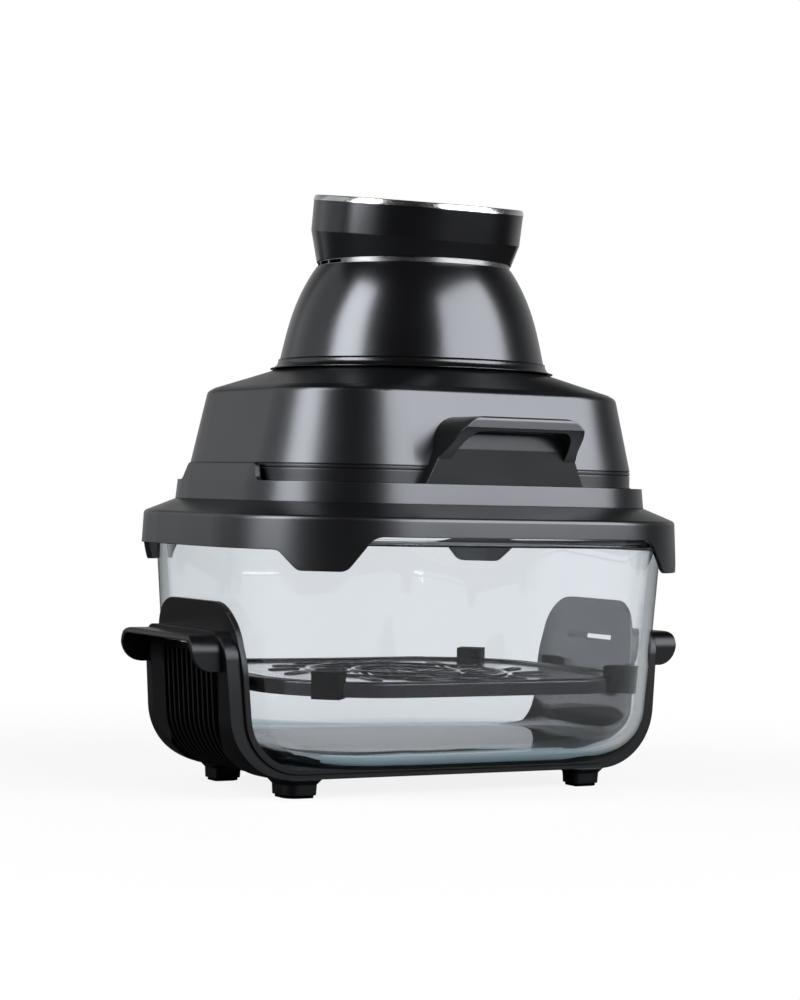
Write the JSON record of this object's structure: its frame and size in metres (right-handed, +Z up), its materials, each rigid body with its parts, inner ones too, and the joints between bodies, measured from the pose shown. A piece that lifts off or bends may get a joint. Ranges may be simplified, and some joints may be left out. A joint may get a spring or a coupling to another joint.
{
  "type": "glass air fryer",
  "caption": "Countertop air fryer: a lift-off heater head on a clear glass tub that stands in a handled cradle, with a slotted crisper plate inside.",
  "frame": {"origin": "on the table under the middle of the four feet", "axes": "+X along the long side, -Y towards the grip at the front, +Z up"},
  "size_m": [0.3066, 0.244, 0.3316],
  "materials": {
    "shell_plastic": "satin",
    "cradle_plastic": "satin",
    "clear_glass": "gloss",
    "panel_glass": "gloss",
    "chrome": "polished",
    "satin_metal": "satin",
    "sheet_metal": "satin",
    "dark_metal": "gloss",
    "steel": "satin",
    "silicone": "matte",
    "board": "matte",
    "ceramic_fibre": "matte",
    "motor_steel": "satin"
  },
  "bodies": {
    "base": {"base_shell": "cradle_plastic", "cradle_liner": "cradle_plastic", "left_handle": "cradle_plastic", "right_handle": "cradle_plastic", "foot_pads": "silicone", "glass_pads": "silicone", "base_screws": "steel"},
    "glass": {"glass_container": "clear_glass"},
    "tray": {"crisper_plate": "dark_metal", "tray_bumpers": "silicone"},
    "fan": {"motor_shaft": "steel", "fan_impeller": "sheet_metal", "cooling_fan": "shell_plastic", "fan_nut": "steel"},
    "head": {"lid_rim": "shell_plastic", "lid_collar": "shell_plastic", "skirt_band": "shell_plastic", "body_shell": "shell_plastic", "front_grip": "shell_plastic", "neck_shell": "shell_plastic", "vent_ring": "satin_metal", "cap_shell": "shell_plastic", "chrome_ring": "chrome", "touch_panel": "panel_glass", "control_board": "board", "power_board": "board", "cord_gland": "silicone", "lid_gasket": "silicone", "underside_cover": "sheet_metal", "fan_guard": "sheet_metal", "reflector_dish": "sheet_metal", "heater_coil": "steel", "heater_clips": "steel", "temperature_probe": "steel", "insulation_disc": "ceramic_fibre", "mounting_plate": "sheet_metal", "motor_bracket": "sheet_metal", "motor": "motor_steel", "thermal_cutout": "steel", "head_screws": "steel"}
  },
  "joints": [
    {"name": "glass_lift", "type": "slide", "parent": "base", "child": "glass", "axis": [0, 0, 1], "range_m": [0, 0.12]},
    {"name": "head_lift", "type": "slide", "parent": "glass", "child": "head", "axis": [0, 0, 1], "range_m": [0, 0.15]},
    {"name": "tray_lift", "type": "slide", "parent": "glass", "child": "tray", "axis": [0, 0, 1], "range_m": [0, 0.05]},
    {"name": "fan_spin", "type": "hinge", "parent": "head", "child": "fan", "pos_m": [0, 0, 0.16], "axis": [0, 0, 1], "continuous": true}
  ]
}
